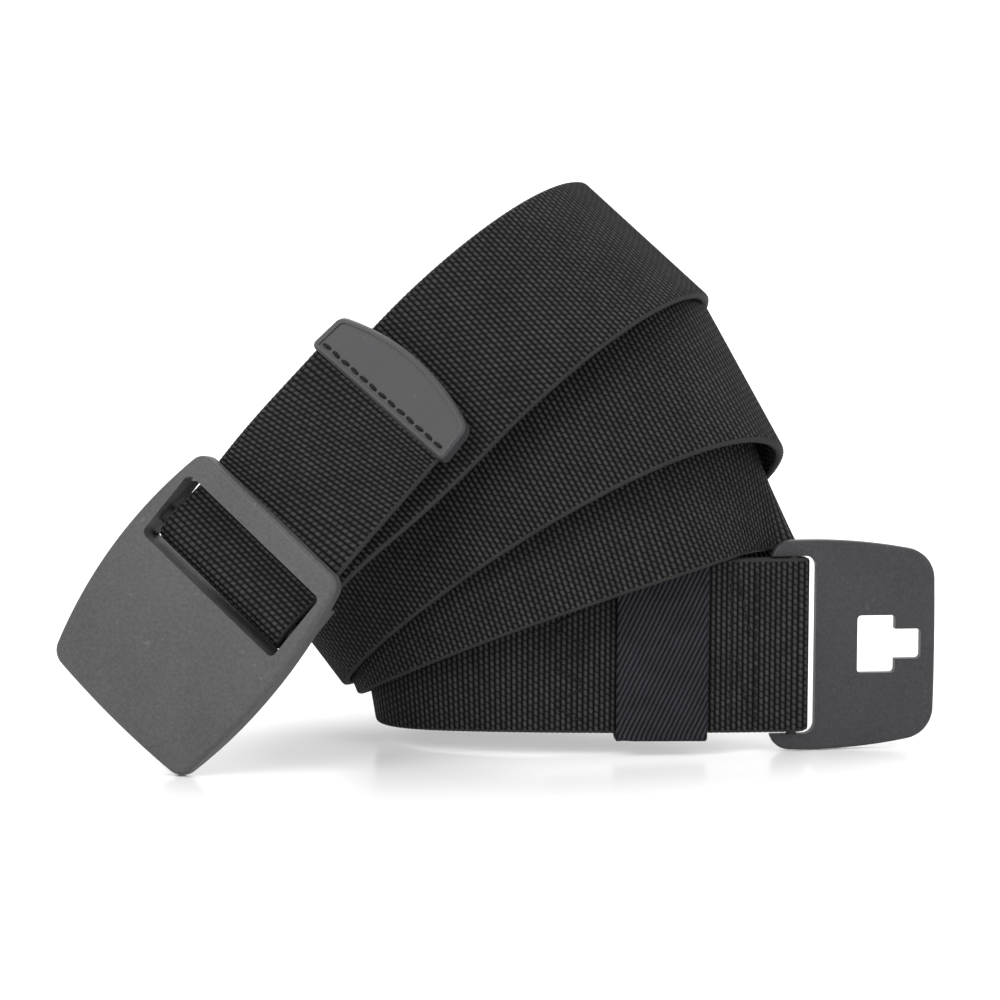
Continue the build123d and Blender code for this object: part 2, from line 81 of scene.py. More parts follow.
BUCKLE_FAN = 49.5
BUCKLE_LEAN = 26.0
LAST_STEPS = 14
HEM_STEPS = 30                   # along the folded-back end
BEND_STEPS = 12                  # round the catch plate's bar, and round the pin
EXIT_STEPS = 6                   # from the pin out of the buckle
TAIL_STEPS = 12
PIN_RADIUS = 2.0
WRAP_RADIUS = PIN_RADIUS + FIT_GAP + WEB_THICK / 2
BAR_RADIUS = 1.1
LOOP_RADIUS = BAR_RADIUS + FIT_GAP + WEB_THICK / 2
FOLD_OPEN = 1.0
FOLD_CLOSE = 7.5
TAIL_EXIT = 12.6
TAIL_SPLIT = 0.2                 # between the strap's end and the tail's start
TAIL_RISE = 0.1
TAIL_STRAIGHT = 1.5
TAIL_HELD = 4.0                  # a length of the tail past its mouth
TIP_EDGE = Vector((-25.86, -27.06, 78.24))
TIP_FAN = 51.3
TIP_LEAN = 26.0
TIP_YAW = -9.0
TIP_THICK = 4.2
TIP_POCKET = 7.0
TIP_POCKET_GAP = 0.3
TIP_RECESS = 0.35
TIP_SEAM = 2.1
TIP_STITCHES = 13
TIP_STITCH_PITCH = 2.85
TIP_STITCH_LENGTH = 2.5
TIP_STITCH_SKEW = 0.08           # radians, to one side and the other in turn
TIP_THREAD = 0.85
TIP_THREAD_PROUD = 0.55
KEEPER_AT = 29.15
KEEPER_LENGTH = 20.0
KEEPER_WALL = 1.0
KEEPER_PLAY = 0.5
KEEPER_DROP = 0.3
KEEPER_HEM = 2.2
KEEPER_HEM_DIP = 0.12            # how much lower the hem is
KEEPER_SEAM_DIP = 0.3            # and the groove beside it, which runs out over its width
KEEPER_SEAM_WIDTH = 1.0
KEEPER_CORNER = 0.6
KEEPER_CORNER_STEPS = 4
KEEPER_ROLL_STEPS = 6
KEEPER_COLUMNS = 24
KEEPER_SPAN = 1.5                # the longest step round the band
STITCH_PITCH = 2.6
STITCH_LENGTH = 2.3
THREAD = 0.5
THREAD_PROUD = 0.42
THREAD_SUNK = 0.32               # how deep its ends go into the webbing
THREAD_FLAT = 0.4                # its half height, as a part of its width
THREAD_END = 0.55                # its width at the ends, as a part of the middle
THREAD_RINGS = 9
THREAD_SIDES = 8
SEAM_HALF = 17.0
OUTER_SEAM = (8.75, 14.15)
INNER_SEAM = (46.25, 52.25)
ZIGZAG_COUNT = 8
BOX_SPLIT = 1.0                  # from the strap's middle to each box
CROSS_INSET = 1.2
ZIGZAG_INSET = 0.6

# ---- how the webbing is woven ---------------------------------------------------------------
PICK_PITCH = 1.2                 # between the rows of beads, which run across the strap
BEAD_PITCH = WEB_WIDTH / 26      # between the beads in a row
PICK_RELIEF = 0.13
BEAD_SLANT = -0.4
BEAD_SHIFT = BEAD_PITCH / 3      # from one row to the next
EDGE_ROUND = 0.75                # how far the selvedge is rounded in from each side
EDGE_TURN = 2.1                  # of v round a selvedge, from one face to the other
FACE_PERIOD = WEB_WIDTH + EDGE_TURN
EDGE_SHOULDER = 0.35             # a point on the rounding, as a part of EDGE_ROUND
EDGE_FALL = 0.55                 # how much of the half thickness the rounding takes
EDGE_BULGE = 0.12
EDGE_FLAT = 0.2                  # half of the selvedge's flat, as a part of the half thickness
EDGE_CORD = 0.45                 # width of the selvedge's own cord
FACE_COLUMNS = 25
CURVE_STEPS = 12                 # between two points of a route, before it is divided evenly


class Axes:
    """A place with three directions: x, y across the strap, z out of its face."""

    def __init__(self, origin, x, z):
        self.origin, self.x, self.z = origin, x.normalized(), z.normalized()
        self.y = self.z.cross(self.x)

    def at(self, x, y, z):
        return self.origin + self.x * x + self.y * y + self.z * z

    def raised(self, z):
        return Axes(self.at(0, 0, z), self.x, self.z)


def fan_axes(fan, lean):
    """The strap's forward run, its depth and its width directions for a fan and a lean angle."""
    run = Vector((cos(radians(fan)), 0, sin(radians(fan))))
    rise = Vector((-sin(radians(fan)), 0, cos(radians(fan))))
    back = Vector((0, 1, 0))
    depth = back * cos(radians(lean)) - rise * sin(radians(lean))
    width = rise * cos(radians(lean)) + back * sin(radians(lean))
    return run, depth, width


def eased(values, index, part):
    """A smooth value between values[index] and the next, which also follows their neighbours."""
    last = len(values) - 1
    here, there = values[index], values[min(index + 1, last)]
    slope_here = (there - values[max(index - 1, 0)]) / 2
    slope_there = (values[min(index + 2, last)] - here) / 2
    bend = part * part * (3 - 2 * part)
    return (
        here * (1 - bend)
        + there * bend
        + slope_here * part * (1 - part) ** 2
        + slope_there * part * part * (part - 1)
    )


def coil_marks():
    """(reach, depth, fan, lean) along the strap, unrolled in plan, from catch plate to buckle."""
    fans = [START_FAN] + [row[2] for row in QUARTER_TURNS] + [BUCKLE_FAN]
    leans = [START_LEAN] + [row[3] for row in QUARTER_TURNS] + [BUCKLE_LEAN]
    marks = []
    radius = START_RUN / sin(radians(-START_YAW))
    for step in range(QUARTER_STEPS):
        yaw = START_YAW * (1 - step / QUARTER_STEPS)
        reach = START_RUN + radius * sin(radians(yaw))
        depth = radius * (1 - cos(radians(yaw)))
        marks.append((reach, depth, START_FAN, START_LEAN))
    x, y = START_RUN, 0.0
    for index, (reach, depth, _, _) in enumerate(QUARTER_TURNS):
        x_sign = (1, -1, -1, 1)[index % 4]
        y_sign = (1, 1, -1, -1)[index % 4]
        for step in range(QUARTER_STEPS):
            turn = pi / 2 * step / QUARTER_STEPS
            if index % 2 == 0:
                dx, dy = reach * sin(turn), depth * (1 - cos(turn))
            else:
                dx, dy = reach * (1 - cos(turn)), depth * sin(turn)
            part = step / QUARTER_STEPS
            fan, lean = eased(fans, index, part), eased(leans, index, part)
            marks.append((x + x_sign * dx, y + y_sign * dy, fan, lean))
        x += x_sign * reach
        y += y_sign * depth
    turns = len(QUARTER_TURNS)
    stride = LAST_RUN / LAST_STEPS
    for step in range(LAST_STEPS + 1):
        part = step / LAST_STEPS
        marks.append((x, y, eased(fans, turns, part), eased(leans, turns, part)))
        part = (step + 0.5) / LAST_STEPS
        if part < 0.5:
            yaw = LAST_BULGE_YAW * 2 * part
        else:
            yaw = LAST_BULGE_YAW + (BUCKLE_YAW - LAST_BULGE_YAW) * (2 * part - 1)
        x += stride * cos(radians(yaw))
        y += stride * sin(radians(yaw))
    return marks


def coil_stations():
    """Centre points of the strap with its width direction at each, from catch plate to buckle."""
    marks = coil_marks()
    point = STRAP_START.copy()
    stations = []
    for index, mark in enumerate(marks):
        if index:
            before = marks[index - 1]
            run_a, depth_a, _ = fan_axes(before[2], before[3])
            run_b, depth_b, _ = fan_axes(mark[2], mark[3])
            run, depth = (run_a + run_b) / 2, (depth_a + depth_b) / 2
            point = point - run * (mark[0] - before[0]) + depth * (mark[1] - before[1])
        tuck = (1 + cos(pi * min(abs(index - TUCK_AT) / TUCK_REACH, 1.0))) / 2
        width = fan_axes(mark[2], mark[3] + TUCK_LEAN * tuck)[2]
        stations.append((point + TUCK_BACK * tuck, width))
    return stations


def start_run_axes(distance):
    """Axes on the first run: x back to the catch plate, y up its width, z out of its front."""
    run, depth, width = fan_axes(START_FAN, START_LEAN)
    radius = START_RUN / sin(radians(-START_YAW))
    yaw = START_YAW * (1 - distance / START_RUN)
    reach = START_RUN + radius * sin(radians(yaw))
    back = radius * (cos(radians(START_YAW)) - cos(radians(yaw)))
    along = -run * cos(radians(yaw)) + depth * sin(radians(yaw))
    return Axes(STRAP_START - run * reach + depth * back, -along, width.cross(along))


def face_axes(origin, fan, lean, yaw):
    """Axes facing forward off the strap: x towards the coil, y across the strap, z outward."""
    run, depth, width = fan_axes(fan, lean)
    towards = run * cos(radians(yaw)) - depth * sin(radians(yaw))
    return Axes(origin, towards, towards.cross(width))


coil = coil_stations()
pin_axes = face_axes(coil[-1][0], BUCKLE_FAN, BUCKLE_LEAN, BUCKLE_YAW).raised(WRAP_RADIUS)
tip_axes = face_axes(TIP_EDGE, TIP_FAN, TIP_LEAN, TIP_YAW)
catch_axes = start_run_axes(0.0).raised(-LOOP_RADIUS)


def strap_route():
    """Points and width directions of the strap from its cut end to the wrap round the crossbar."""
    route = []
    for step in range(HEM_STEPS + 1):
        distance = START_RUN * (1 - step / HEM_STEPS)
        closing = min(max((distance - FOLD_OPEN) / (FOLD_CLOSE - FOLD_OPEN), 0.0), 1.0)
        closing = closing * closing * (3 - 2 * closing)
        gap = WEB_THICK + LAYER_GAP + (2 * LOOP_RADIUS - WEB_THICK - LAYER_GAP) * (1 - closing)
        route.append((start_run_axes(distance).at(0, 0, -gap), catch_axes.y))
    for step in range(1, BEND_STEPS):
        angle = pi * step / BEND_STEPS
        point = catch_axes.at(LOOP_RADIUS * sin(angle), 0, -LOOP_RADIUS * cos(angle))
        route.append((point, catch_axes.y))
    route += coil
    for step in range(1, BEND_STEPS):
        angle = pi * step / BEND_STEPS
        point = pin_axes.at(-WRAP_RADIUS * sin(angle), 0, -WRAP_RADIUS * cos(angle))
        route.append((point, pin_axes.y))
    for step in range(EXIT_STEPS + 1):
        part = step / EXIT_STEPS
        drop = (1 - cos(pi * part)) / 2
        rise = WRAP_RADIUS + (TAIL_RISE - WRAP_RADIUS) * drop
        route.append((pin_axes.at((TAIL_EXIT - TAIL_SPLIT) * part, 0, rise), pin_axes.y))
    return route


def tail_route():
    """Points and width directions of the tail, from the buckle to inside its tip."""
    mouth = pin_axes.at(TAIL_EXIT, 0, TAIL_RISE)
    start = mouth + pin_axes.x * TAIL_STRAIGHT
    span = (TIP_EDGE - start).length
    route = [(mouth, pin_axes.y)]
    for step in range(TAIL_STEPS + 1):
        t = step / TAIL_STEPS
        bend = t * t * (3 - 2 * t)
        point = (
            start * (1 - bend)
            + TIP_EDGE * bend
            + pin_axes.x * (span * t * (1 - t) ** 2)
            + tip_axes.x * (span * t * t * (t - 1))
        )
        route.append((point, (pin_axes.y * (1 - bend) + tip_axes.y * bend).normalized()))
    route.append((TIP_EDGE + tip_axes.x * (TIP_POCKET - TIP_POCKET_GAP), tip_axes.y))
    return route


# ---- meshes ----------------------------------------------------------------------------------
def smooth_route(route):
    """The route on a smooth curve, at every half pick: points, widths, outward and lengths."""
    points = np.array([tuple(point) for point, _ in route])
    widths = np.array([tuple(width) for _, width in route])
    spans = np.linalg.norm(np.diff(points, axis=0), axis=1)[:, None]

    def through(values):
        slopes = np.diff(values, axis=0) / spans
        slopes = np.vstack([slopes[:1], slopes, slopes[-1:]])
        before = np.vstack([spans[:1], spans])
        after = np.vstack([spans, spans[-1:]])
        tangents = (slopes[:-1] * after + slopes[1:] * before) / (before + after)
        t = np.linspace(0, 1, CURVE_STEPS + 1)[:-1, None, None]
        curve = (
            values[:-1] * (1 + 2 * t) * (1 - t) ** 2
            + values[1:] * t * t * (3 - 2 * t)
            + tangents[:-1] * spans * t * (1 - t) ** 2
            + tangents[1:] * spans * t * t * (t - 1)
        )
        return np.vstack([curve.transpose(1, 0, 2).reshape(-1, 3), values[-1:]])

    fine, across = through(points), through(widths)
    marks = np.concatenate([[0.0], np.cumsum(np.linalg.norm(np.diff(fine, axis=0), axis=1))])
    halves = int(round(marks[-1] / (PICK_PITCH / 2)))
    lengths = np.linspace(0, marks[-1], halves + 1)
    fine = np.stack([np.interp(lengths, marks, fine[:, axis]) for axis in range(3)], axis=1)
    across = np.stack([np.interp(lengths, marks, across[:, axis]) for axis in range(3)], axis=1)
    along = np.gradient(fine, lengths, axis=0)
    along /= np.linalg.norm(along, axis=1)[:, None]
    across -= along * (across * along).sum(axis=1)[:, None]
    across /= np.linalg.norm(across, axis=1)[:, None]
    return fine, across, np.cross(across, along), lengths


def webbing_section():
    """One ring of the webbing's section: (across, through, v) with v running round it."""
    half, thick = WEB_WIDTH / 2, WEB_THICK / 2
    inner = half - EDGE_ROUND
    places = [-half, -half + EDGE_ROUND * EDGE_SHOULDER]
    places += [-inner + 2 * inner * index / FACE_COLUMNS for index in range(FACE_COLUMNS + 1)]
    places += [half - EDGE_ROUND * EDGE_SHOULDER, half]
    front = []
    for v in places:
        reach = max(0.0, 1 - (half - abs(v)) / EDGE_ROUND)
        fall = 1 - (1 - reach * reach) ** 0.5
        front.append((v, thick * (1 - EDGE_FALL * fall), v))
    ring = list(front)
    edge, flat = half + EDGE_BULGE, thick * EDGE_FLAT
    ring.append((edge, flat, half + EDGE_TURN / 3))
    ring.append((edge, -flat, half + EDGE_TURN * 2 / 3))
    ring += [(v, -through, FACE_PERIOD - v) for v, through, _ in reversed(front)]
    ring.append((-edge, -flat, FACE_PERIOD + half + EDGE_TURN / 3))
    ring.append((-edge, flat, FACE_PERIOD + half + EDGE_TURN * 2 / 3))
    return ring


def swept_mesh(name, route, ring):
    """A closed ribbed mesh of ring swept along route, with u, v in millimetres on its faces."""
    points, across, out, lengths = smooth_route(route)
    section = np.array(ring)
    count, size = len(points), len(section)
    groove = (np.arange(count) % 2 == 0)[:, None, None] * PICK_RELIEF
    wide = section[None, :, 0, None] * (1 - groove / WEB_WIDTH)
    through = section[None, :, 1, None] * (1 - 2 * groove / WEB_THICK)
    grid = points[:, None, :] + across[:, None, :] * wide + out[:, None, :] * through
    corners = (grid.reshape(-1, 3) * MM).tolist()
    faces, uvs = [], []
    turn = 2 * FACE_PERIOD - WEB_WIDTH / 2
    for row in range(count - 1):
        near, far = row * size, (row + 1) * size
        u0, u1 = lengths[row], lengths[row + 1]
        for col in range(size):
            after = (col + 1) % size
            faces.append((near + col, near + after, far + after, far + col))
            v0 = section[col, 2]
            v1 = section[after, 2] if after else turn
            uvs += [(u0, v0), (u0, v1), (u1, v1), (u1, v0)]
    last = (count - 1) * size
    faces.append(tuple(range(size - 1, -1, -1)))
    uvs += [(lengths[0], section[col, 2]) for col in range(size - 1, -1, -1)]
    faces.append(tuple(range(last, last + size)))
    uvs += [(lengths[-1], section[col, 2]) for col in range(size)]
    return mesh_object(name, corners, faces, uvs), lengths[-1]


def mesh_object(name, corners, faces, uvs=None, smooth=True):
    """A new object from corners and faces, with an optional u, v pair for each face corner."""
    mesh = bpy.data.meshes.new(name)
    mesh.from_pydata(corners, [], faces)
    if uvs:
        layer = mesh.uv_layers.new(name="weave_mm")
        layer.data.foreach_set("uv", np.array(uvs, dtype=np.float32).ravel())
    mesh.polygons.foreach_set("use_smooth", [smooth] * len(mesh.polygons))
    mesh.validate()
    mesh.update()
    piece = bpy.data.objects.new(name, mesh)
    bpy.context.scene.collection.objects.link(piece)
    return piece


def rounded_ring(half_x, half_y, radius, steps):
    """Points of a rounded rectangle, anticlockwise from its right side."""
    ring = []
    for quarter, (sx, sy) in enumerate(((1, 1), (-1, 1), (-1, -1), (1, -1))):
        for step in range(steps + 1):
            angle = pi / 2 * (quarter + step / steps)
            ring.append((
                sx * (half_x - radius) + radius * cos(angle),
                sy * (half_y - radius) + radius * sin(angle),
            ))
    return ring


def thread_stitches(name, places, length, across=THREAD, proud=THREAD_PROUD):
    """Short threads that rise out of one hole and go down the next, at (axes, angle) places."""
    corners, faces = [], []
    rings, sides = THREAD_RINGS, THREAD_SIDES
    for axes, angle in places:
        along = axes.x * cos(angle) + axes.y * sin(angle)
        beside = axes.y * cos(angle) - axes.x * sin(angle)
        base = len(corners)
        for ring in range(rings):
            t = ring / (rings - 1)
            lift = proud * (1 - (2 * t - 1) ** 4) - THREAD_SUNK
            taper = THREAD_END + (1 - THREAD_END) * sin(pi * t)
            centre = axes.origin + along * (length * (t - 0.5)) + axes.z * lift
            for side in range(sides):
                turn = 2 * pi * side / sides
                sideways = beside * cos(turn) * across / 2 * taper
                upward = axes.z * sin(turn) * across * THREAD_FLAT * taper
                corners.append(tuple((centre + (sideways + upward)) * MM))
        for ring in range(rings - 1):
            for side in range(sides):
                after = (side + 1) % sides
                low, high = base + ring * sides, base + (ring + 1) * sides
                faces.append((low + side, low + after, high + after, high + side))
        faces.append(tuple(base + side for side in reversed(range(sides))))
        faces.append(tuple(base + (rings - 1) * sides + side for side in range(sides)))
    return mesh_object(name, corners, faces)


# ---- materials -------------------------------------------------------------------------------
class Nodes:
    """A short way to write a material's node tree."""

    def __init__(self, name):
        self.material = bpy.data.materials.new(name)
        self.material.use_nodes = True
        self.tree = self.material.node_tree
        self.shader = self.tree.nodes["Principled BSDF"]

    def add(self, kind, **settings):
        node = self.tree.nodes.new(kind)
        for key, value in settings.items():
            setattr(node, key, value)
        return node

    def join(self, source, target):
        self.tree.links.new(source, target)

    def math(self, operation, a, b=None, clamp=False):
        node = self.add("ShaderNodeMath", operation=operation, use_clamp=clamp)
        for socket, value in zip(node.inputs, (a, b)):
            if value is None:
                continue
            if isinstance(value, (int, float)):
                socket.default_value = value
            else:
                self.join(value, socket)
        return node.outputs[0]

    def wave(self, value, pitch, power):
        """A ridge of the given pitch: 0 in its grooves, 1 on its crest."""
        turned = self.math("MULTIPLY", value, pi / pitch)
        return self.math("POWER", self.math("ABSOLUTE", self.math("SINE", turned)), power)

    def fit(self, value, low, high):
        """The value, from 0 to 1, stretched to run from low to high."""
        node = self.add("ShaderNodeMapRange", clamp=False)
        node.inputs["To Min"].default_value = low
        node.inputs["To Max"].default_value = high
        self.join(value, node.inputs["Value"])
        return node.outputs["Result"]

    def pick(self, factor, a, b):
        """a where the factor is 0, b where it is 1."""
        node = self.add("ShaderNodeMix")
        self.join(factor, node.inputs["Factor"])
        self.join(a, node.inputs["A"])
        self.join(b, node.inputs["B"])
        return node.outputs["Result"]

    def noise(self, vector, scale, detail=2.0):
        node = self.add("ShaderNodeTexNoise")
        node.inputs["Scale"].default_value = scale
        node.inputs["Detail"].default_value = detail
        self.join(vector, node.inputs["Vector"])
        return node.outputs["Fac"]

    def blend(self, factor, dark, light):
        node = self.add("ShaderNodeMix", data_type="RGBA")
        self.join(factor, node.inputs["Factor"])
        node.inputs["A"].default_value = (*dark, 1)
        node.inputs["B"].default_value = (*light, 1)
        self.join(node.outputs["Result"], self.shader.inputs["Base Color"])

    def bump(self, height, distance, strength=1.0):
        node = self.add("ShaderNodeBump")
        node.inputs["Strength"].default_value = strength
        node.inputs["Distance"].default_value = distance
        self.join(height, node.inputs["Height"])
        self.join(node.outputs["Normal"], self.shader.inputs["Normal"])

    def plain(self, **values):
        for key, value in values.items():
            self.shader.inputs[key.replace("_", " ")].default_value = value

    def uv(self):
        split = self.add("ShaderNodeSeparateXYZ")
        self.join(self.add("ShaderNodeUVMap", uv_map="weave_mm").outputs[0], split.inputs[0])
        return split.outputs[0], split.outputs[1]

    def object_place(self):
        return self.add("ShaderNodeTexCoord").outputs["Object"]


def webbing_material():
    """Rows of slanted beads across the strap, each row a third of a bead on from the last."""
    n = Nodes("rib_webbing")
    u, v = n.uv()
    place = n.object_place()
    pick = n.math("FLOOR", n.math("DIVIDE", u, PICK_PITCH))
    within = n.math("SUBTRACT", u, n.math("MULTIPLY", pick, PICK_PITCH))
    slanted = n.math("ADD", v, n.math("MULTIPLY", within, BEAD_SLANT))
    wander = n.fit(n.noise(place, 260.0, 2.0), -0.25, 0.25)
    shifted = n.math("ADD", slanted, n.math("MULTIPLY", pick, BEAD_SHIFT))
    beside = n.math("ADD", shifted, wander)
    cord = n.math("FLOOR", n.math("DIVIDE", beside, BEAD_PITCH))
    across = n.wave(beside, BEAD_PITCH, 0.8)
    along = n.wave(u, PICK_PITCH, 1.7)
    cell = n.add("ShaderNodeCombineXYZ")
    n.join(cord, cell.inputs[0])
    n.join(pick, cell.inputs[1])
    random = n.add("ShaderNodeTexWhiteNoise", noise_dimensions="2D")
    n.join(cell.outputs[0], random.inputs["Vector"])
    fibre = n.noise(place, 7000.0, 2.0)
    bead = n.math("MULTIPLY", n.fit(across, 0.1, 1.0), along)
    bead = n.math("MULTIPLY", bead, n.fit(random.outputs["Value"], 0.6, 1.0))
    bead = n.math("MULTIPLY", bead, n.fit(fibre, 0.55, 1.45))
    from_middle = n.math("FLOORED_MODULO", n.math("ADD", v, FACE_PERIOD / 2), FACE_PERIOD)
    from_middle = n.math("ABSOLUTE", n.math("SUBTRACT", from_middle, FACE_PERIOD / 2))
    selvedge = n.math("GREATER_THAN", from_middle, WEB_WIDTH / 2 - EDGE_CORD)
    edge_cord = n.fit(n.wave(u, PICK_PITCH / 2, 0.6), 0.30, 0.44)
    height = n.pick(selvedge, bead, edge_cord)
    # Painted shade and glint: the colour follows the bead height, near black in the grooves and
    # lighter on the bead tops, with random tone from noise.
    worn = n.fit(n.noise(place, 70.0, 2.0), 0.72, 1.28)
    light = n.math("MULTIPLY", height, worn, clamp=True)
    n.blend(light, (0.0004, 0.0004, 0.0005), (0.070, 0.069, 0.070))
    n.bump(height, 0.0005)
    n.plain(Roughness=0.55, Specular_IOR_Level=0.05)
    return n.material


def twill_material():
    """Steep twill lines of a fine yarn."""
    n = Nodes("steep_twill")
    u, v = n.uv()
    turn = radians(64)
    place = n.object_place()
    wander = n.fit(n.noise(place, 220.0, 2.0), -0.12, 0.12)
    line = n.math("ADD", n.math("MULTIPLY", u, sin(turn)), n.math("MULTIPLY", v, -cos(turn)))
    ridge = n.wave(n.math("ADD", line, wander), 0.96, 1.5)
    yarn = n.wave(n.math("ADD", v, n.math("MULTIPLY", u, 0.35)), 0.42, 0.6)
    weave = n.math("MULTIPLY", ridge, n.fit(yarn, 0.55, 1.0))
    weave = n.math("MULTIPLY", weave, n.fit(n.noise(place, 6000.0, 2.0), 0.6, 1.4))
    # Painted shade: the colour follows the twill relief, near black in the grooves and lighter on
    # the ridges, with random tone from noise.
    tone = n.math("MULTIPLY", weave, n.fit(n.noise(place, 250.0, 3.0), 0.6, 1.4), clamp=True)
    n.blend(tone, (0.0005, 0.0005, 0.0007), (0.042, 0.043, 0.052))
    n.bump(weave, 0.00035)
    n.plain(Roughness=0.62, Specular_IOR_Level=0.08)
    return n.material


def thread_material():
    """Twisted sewing thread."""
    n = Nodes("sewing_thread")
    place = n.object_place()
    twist = n.add("ShaderNodeTexWave", bands_direction="DIAGONAL")
    twist.inputs["Scale"].default_value = 900.0
    twist.inputs["Distortion"].default_value = 1.5
    n.join(place, twist.inputs["Vector"])
    # Painted shade: the colour follows the twist's relief, darker in its grooves.
    n.blend(twist.outputs["Fac"], (0.0015, 0.0015, 0.0015), (0.012, 0.012, 0.013))
    n.bump(twist.outputs["Fac"], 0.00008)
    n.plain(Roughness=0.5, Specular_IOR_Level=0.15)
    return n.material


def plastic_material(name, dark, light, roughness):
    """Moulded plastic with a fine spark-eroded grain, faint mottling and small rubbed specks."""
    n = Nodes(name)
    place = n.object_place()
    grain = n.noise(place, 1500.0, 3.0)
    mottle = n.noise(place, 60.0, 4.0)
    specks = n.math("GREATER_THAN", n.noise(place, 700.0, 0.0), 0.83)
    tone = n.math("ADD", n.fit(mottle, 0.1, 0.6), n.fit(grain, -0.35, 0.55))
    tone = n.math("ADD", tone, n.math("MULTIPLY", specks, 0.4), clamp=True)
    n.blend(tone, dark, light)
    n.join(n.fit(grain, roughness - 0.1, roughness + 0.1), n.shader.inputs["Roughness"])
    n.bump(grain, 0.00012, 0.6)
    n.plain(Specular_IOR_Level=0.35)
    return n.material


webbing_look = webbing_material()
twill_look = twill_material()
thread_look = thread_material()
buckle_look = plastic_material(
    "moulded_dark_grey", (0.026, 0.026, 0.027), (0.084, 0.084, 0.087), 0.5
)
tip_look = plastic_material(
    "moulded_charcoal", (0.014, 0.014, 0.015), (0.050, 0.050, 0.054), 0.5
)
# The catch plate: the same moulded plastic as the buckle, made darker as painted shade for the
# less light that falls on it.
catch_look_painted_shade = plastic_material(
    "moulded_plastic_painted_shade", (0.010, 0.010, 0.012), (0.045, 0.045, 0.051), 0.48
)


def finish_with(piece, look):
    """The piece's only material is look."""
    piece.data.materials.clear()
    piece.data.materials.append(look)


for node_name, look in (
    ("buckle_plate", buckle_look),
    ("crossbar_pin", buckle_look),
    ("strap_tip", tip_look),
    ("catch_plate", catch_look_painted_shade),
):
    for material_slot in nodes[node_name].material_slots:
        material_slot.material = look

# ---- the strap and its tail ---------------------------------------------------------------------
section_ring = webbing_section()
strap, strap_length = swept_mesh("webbing_coil", strap_route(), section_ring)
finish_with(strap, webbing_look)
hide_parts("webbing_strap")
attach(strap, "webbing")

tail, tail_length = swept_mesh("webbing_tail", tail_route(), section_ring)
finish_with(tail, webbing_look)
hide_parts("strap_tail")
pin_axes.at(TAIL_EXIT + TAIL_HELD, 0, TAIL_RISE) * MM
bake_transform(tail)

# ---- the keeper ---------------------------------------------------------------------------------
def keeper_band():
    """A flat band of twill round both layers, with rolled edges, a lower hem and a sewn groove
    beside it.
    """
    front = start_run_axes(KEEPER_AT)
    middle = front.raised(-(WEB_THICK + LAYER_GAP) / 2)
    centre = middle.at(0, -KEEPER_DROP, 0)
    half_through = WEB_THICK + LAYER_GAP / 2 + KEEPER_PLAY
    half_across = WEB_WIDTH / 2 + KEEPER_PLAY
    half_length = KEEPER_LENGTH / 2
    roll = KEEPER_WALL / 2
    profile = []
    for step in range(KEEPER_ROLL_STEPS + 1):
        angle = pi * step / KEEPER_ROLL_STEPS
        profile.append((half_length - roll + roll * sin(angle), roll + roll * cos(angle)))
    for step in range(KEEPER_ROLL_STEPS + 1):
        angle = pi * step / KEEPER_ROLL_STEPS
        profile.append((-half_length + roll - roll * sin(angle), roll - roll * cos(angle)))
    for step in range(1, KEEPER_COLUMNS):
        place = -half_length + roll + (KEEPER_LENGTH - 2 * roll) * step / KEEPER_COLUMNS
        from_hem = place + half_length - KEEPER_HEM
        if from_hem < 0:
            dip = KEEPER_HEM_DIP
        else:
            dip = KEEPER_SEAM_DIP * max(0.0, 1 - from_hem / KEEPER_SEAM_WIDTH)
        profile.append((place, KEEPER_WALL - dip))
    corners, faces, uvs = [], [], []
    base = rounded_ring(half_through, half_across, KEEPER_CORNER, KEEPER_CORNER_STEPS)
    around = []
    for index, a in enumerate(base):
        b = base[(index + 1) % len(base)]
        span = ((a[0] - b[0]) ** 2 + (a[1] - b[1]) ** 2) ** 0.5
        count = max(1, int(span / KEEPER_SPAN))
        for step in range(count):
            part = step / count
            around.append((a[0] + (b[0] - a[0]) * part, a[1] + (b[1] - a[1]) * part))
    lengths = [0.0]
    normals = []
    for index, place in enumerate(around):
        after, before = around[(index + 1) % len(around)], around[index - 1]
        tangent = Vector((after[0] - before[0], after[1] - before[1]))
        normals.append(Vector((tangent.y, -tangent.x)).normalized())
        lengths.append(lengths[-1] + (Vector(after) - Vector(place)).length)
    size = len(profile)
    for index, place in enumerate(around):
        for along, wall in profile:
            through = place[0] + normals[index].x * wall
            across = place[1] + normals[index].y * wall
            point = centre + middle.z * through + middle.y * across + middle.x * along
            corners.append(tuple(point * MM))
    for index in range(len(around)):
        after = (index + 1) % len(around)
        for col in range(size):
            beside = (col + 1) % size
            near, far = index * size, after * size
            faces.append((near + col, far + col, far + beside, near + beside))
            u0, u1 = lengths[index], lengths[index + 1]
            v0, v1 = profile[col][0], profile[beside][0]
            uvs += [(v0, u0), (v0, u1), (v1, u1), (v1, u0)]
    band = mesh_object("keeper_band", corners, faces, uvs)
    return band, lengths[-1]


keeper, keeper_round = keeper_band()
finish_with(keeper, twill_look)
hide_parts("keeper_loop")
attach(keeper, "keeper")


# ---- stitches -----------------------------------------------------------------------------------
def seam(start, end, height, flip):
    """Stitch places along a straight seam of the sewn end, between two (distance, across)."""
    span = ((end[0] - start[0]) ** 2 + (end[1] - start[1]) ** 2) ** 0.5
    count = max(int(round(span / STITCH_PITCH)), 1)
    places = []
    for index in range(count):
        part = (index + 0.5) / count
        distance = start[0] + (end[0] - start[0]) * part
        across = start[1] + (end[1] - start[1]) * part
        axes = start_run_axes(distance)
        spot = Axes(axes.at(0, across, height), axes.x, -axes.z if flip else axes.z)
        rise = end[1] - start[1]
        angle = np.arctan2(-rise if flip else rise, -(end[0] - start[0]))
        places.append((spot, float(angle)))
    return places


